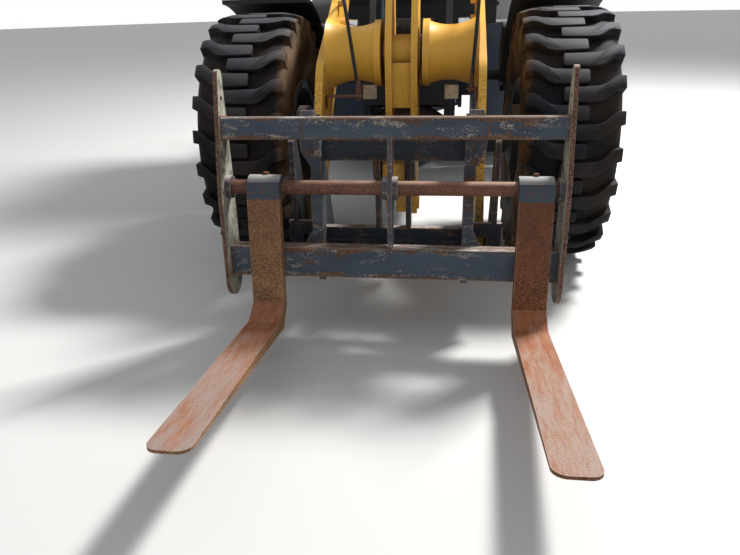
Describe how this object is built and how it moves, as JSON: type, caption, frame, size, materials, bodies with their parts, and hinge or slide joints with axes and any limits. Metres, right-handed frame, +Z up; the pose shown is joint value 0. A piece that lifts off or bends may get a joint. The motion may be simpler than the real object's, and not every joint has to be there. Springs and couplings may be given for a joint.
{
  "type": "wheel loader with pallet forks",
  "caption": "Articulated wheel loader with a Z-bar lift linkage, quick coupler, pallet fork carriage, cab and rear engine.",
  "frame": {"origin": "on the ground, midway along the machine's length and width", "axes": "+X to the machine's left, +Y to its rear along its length, +Z up"},
  "size_m": [2.33, 7.1766, 3.2803],
  "materials": {
    "loader_yellow": "worn gloss",
    "frame_paint": "worn satin",
    "carriage_paint": "chipped and rusted",
    "fork_steel": "rusted, worn",
    "pin_steel": "greasy",
    "rod_chrome": "polished",
    "tyre_rubber": "worn, dusty",
    "rim_paint": "satin, dusty",
    "cab_paint": "satin",
    "window_glass": "tinted",
    "seat_fabric": "woven",
    "black_plastic": "moulded",
    "engine_iron": "painted",
    "exhaust_steel": "heat-stained",
    "weight_iron": "painted"
  },
  "bodies": {
    "chassis": {"rear_frame": "frame_paint", "counterweight": "weight_iron", "engine_block": "engine_iron", "transmission": "engine_iron", "rear_axle": "frame_paint", "cab_platform": "frame_paint", "cab_shell": "cab_paint", "cab_roof": "loader_yellow", "cab_glass": "window_glass", "seat": "seat_fabric", "console": "black_plastic", "rear_fenders": "black_plastic", "side_tanks": "frame_paint", "grab_rails": "frame_paint", "mirrors": "black_plastic"},
    "hood": {"engine_hood": "loader_yellow", "hood_grilles": "black_plastic", "exhaust_stack": "exhaust_steel"},
    "door": {"cab_door": "cab_paint", "door_glass": "window_glass"},
    "front": {"front_frame": "frame_paint", "front_axle": "frame_paint", "front_fenders": "black_plastic", "work_lamps": "black_plastic"},
    "boom": {"boom": "loader_yellow"},
    "crank_carrier": {"crank_pin": "pin_steel"},
    "crank": {"bell_crank": "loader_yellow"},
    "tip_carrier": {"tip_pins": "pin_steel"},
    "coupler": {"quick_coupler": "carriage_paint", "fork_frame": "carriage_paint", "fork_shaft": "fork_steel"},
    "fork_l": {"fork_left": "fork_steel"},
    "fork_r": {"fork_right": "fork_steel"},
    "link_carrier": {"link_pin": "pin_steel"},
    "link": {"tilt_link": "frame_paint"},
    "tilt_cyl": {"tilt_barrel": "loader_yellow"},
    "tilt_piston": {"tilt_rod": "rod_chrome"},
    "lift_cyl_left": {"lift_barrel_left": "loader_yellow"},
    "lift_piston_left": {"lift_rod_left": "rod_chrome"},
    "lift_cyl_right": {"lift_barrel_right": "loader_yellow"},
    "lift_piston_right": {"lift_rod_right": "rod_chrome"},
    "steer_cyl_left": {"steer_barrel_left": "frame_paint"},
    "steer_piston_left": {"steer_rod_left": "rod_chrome"},
    "steer_cyl_right": {"steer_barrel_right": "frame_paint"},
    "steer_piston_right": {"steer_rod_right": "rod_chrome"},
    "wheel_front_left": {"tyre_front_left": "tyre_rubber", "rim_front_left": "rim_paint"},
    "wheel_front_right": {"tyre_front_right": "tyre_rubber", "rim_front_right": "rim_paint"},
    "wheel_rear_left": {"tyre_rear_left": "tyre_rubber", "rim_rear_left": "rim_paint"},
    "wheel_rear_right": {"tyre_rear_right": "tyre_rubber", "rim_rear_right": "rim_paint"}
  },
  "joints": [
    {"name": "steer", "type": "hinge", "parent": "chassis", "child": "front", "pos_m": [0, 0.50825, 0.85], "axis": [0, 0, 1], "range_deg": [-40, 40]},
    {"name": "boom_lift", "type": "hinge", "parent": "front", "child": "boom", "pos_m": [0, -0.37175, 1.93], "axis": [-1, 0, 0], "range_deg": [-2, 88]},
    {"name": "tip_level", "type": "hinge", "parent": "boom", "child": "tip_carrier", "pos_m": [0, -1.97175, 0.4], "axis": [1, 0, 0], "range_deg": [-2, 88]},
    {"name": "carriage_tilt", "type": "hinge", "parent": "tip_carrier", "child": "coupler", "pos_m": [0, -1.97175, 0.4], "axis": [1, 0, 0], "range_deg": [-30, 45]},
    {"name": "crank_lift", "type": "hinge", "parent": "boom", "child": "crank_carrier", "pos_m": [0, -1.45175, 1.28], "axis": [-1, 0, 0], "range_deg": [-1, 20]},
    {"name": "crank_tilt", "type": "hinge", "parent": "crank_carrier", "child": "crank", "pos_m": [0, -1.45175, 1.28], "axis": [-1, 0, 0], "range_deg": [-6, 9]},
    {"name": "link_lift", "type": "hinge", "parent": "coupler", "child": "link_carrier", "pos_m": [0, -2.03175, 0.8], "axis": [-1, 0, 0], "range_deg": [-1.5, 43]},
    {"name": "link_tilt", "type": "hinge", "parent": "link_carrier", "child": "link", "pos_m": [0, -2.03175, 0.8], "axis": [-1, 0, 0], "range_deg": [-14, 21]},
    {"name": "fork_left_slide", "type": "slide", "parent": "coupler", "child": "fork_l", "axis": [1, 0, 0], "range_m": [-0.515, 0.015]},
    {"name": "fork_right_slide", "type": "slide", "parent": "coupler", "child": "fork_r", "axis": [-1, 0, 0], "range_m": [-0.45, 0.08]},
    {"name": "lift_swing_left", "type": "hinge", "parent": "front", "child": "lift_cyl_left", "pos_m": [0.33, -0.04675, 1.037], "axis": [-1, 0, 0], "range_deg": [-1, 41]},
    {"name": "lift_stroke_left", "type": "slide", "parent": "lift_cyl_left", "child": "lift_piston_left", "axis": [0, -0.9422, 0.335], "range_m": [-0.02, 0.78]},
    {"name": "lift_swing_right", "type": "hinge", "parent": "front", "child": "lift_cyl_right", "pos_m": [-0.33, -0.04675, 1.037], "axis": [-1, 0, 0], "range_deg": [-1, 41]},
    {"name": "lift_stroke_right", "type": "slide", "parent": "lift_cyl_right", "child": "lift_piston_right", "axis": [0, -0.9422, 0.335], "range_m": [-0.02, 0.78]},
    {"name": "tilt_swing", "type": "hinge", "parent": "front", "child": "tilt_cyl", "pos_m": [0, -0.25175, 1.83], "axis": [-1, 0, 0], "range_deg": [-2, 74]},
    {"name": "tilt_stroke", "type": "slide", "parent": "tilt_cyl", "child": "tilt_piston", "axis": [0, -0.9976, -0.0688], "range_m": [-0.085, 0.01]},
    {"name": "steer_swing_left", "type": "hinge", "parent": "chassis", "child": "steer_cyl_left", "pos_m": [0.29, 0.93825, 0.85], "axis": [0, 0, 1], "range_deg": [-20, 20]},
    {"name": "steer_stroke_left", "type": "slide", "parent": "steer_cyl_left", "child": "steer_piston_left", "axis": [-0.0232, -0.9997, 0], "range_m": [-0.2, 0.2]},
    {"name": "steer_swing_right", "type": "hinge", "parent": "chassis", "child": "steer_cyl_right", "pos_m": [-0.29, 0.93825, 0.85], "axis": [0, 0, 1], "range_deg": [-20, 20]},
    {"name": "steer_stroke_right", "type": "slide", "parent": "steer_cyl_right", "child": "steer_piston_right", "axis": [0.0232, -0.9997, 0], "range_m": [-0.2, 0.2]},
    {"name": "hood_open", "type": "hinge", "parent": "chassis", "child": "hood", "pos_m": [0, 3.57025, 1.266], "axis": [-1, 0, 0], "range_deg": [0, 60]},
    {"name": "door_open", "type": "hinge", "parent": "chassis", "child": "door", "pos_m": [0.63, 1.28325, 2.2], "axis": [0, 0, 1], "range_deg": [0, 90]},
    {"name": "roll_front_left", "type": "hinge", "parent": "front", "child": "wheel_front_left", "pos_m": [0.9, -0.99175, 0.745], "axis": [1, 0, 0], "continuous": true},
    {"name": "roll_front_right", "type": "hinge", "parent": "front", "child": "wheel_front_right", "pos_m": [-0.9, -0.99175, 0.745], "axis": [1, 0, 0], "continuous": true},
    {"name": "roll_rear_left", "type": "hinge", "parent": "chassis", "child": "wheel_rear_left", "pos_m": [0.9, 2.00825, 0.745], "axis": [1, 0, 0], "continuous": true},
    {"name": "roll_rear_right", "type": "hinge", "parent": "chassis", "child": "wheel_rear_right", "pos_m": [-0.9, 2.00825, 0.745], "axis": [1, 0, 0], "continuous": true}
  ],
  "couplings": [
    {"joint": "tip_level", "follows": "boom_lift", "ratio": 1},
    {"joint": "crank_lift", "follows": "boom_lift", "ratio": 0.2142},
    {"joint": "crank_tilt", "follows": "carriage_tilt", "ratio": 0.1771},
    {"joint": "link_lift", "follows": "boom_lift", "ratio": 0.4717},
    {"joint": "link_tilt", "follows": "carriage_tilt", "ratio": 0.4434},
    {"joint": "lift_swing_left", "follows": "boom_lift", "ratio": 0.452},
    {"joint": "lift_stroke_left", "follows": "boom_lift", "m_per_rad": 0.5},
    {"joint": "lift_swing_right", "follows": "boom_lift", "ratio": 0.452},
    {"joint": "lift_stroke_right", "follows": "boom_lift", "m_per_rad": 0.5},
    {"joint": "tilt_swing", "follows": "boom_lift", "ratio": 0.8283},
    {"joint": "tilt_stroke", "follows": "boom_lift", "m_per_rad": -0.05155},
    {"joint": "steer_swing_left", "follows": "steer", "ratio": 0.4925},
    {"joint": "steer_stroke_left", "follows": "steer", "m_per_rad": -0.2761},
    {"joint": "steer_swing_right", "follows": "steer", "ratio": 0.4925},
    {"joint": "steer_stroke_right", "follows": "steer", "m_per_rad": 0.2761}
  ]
}
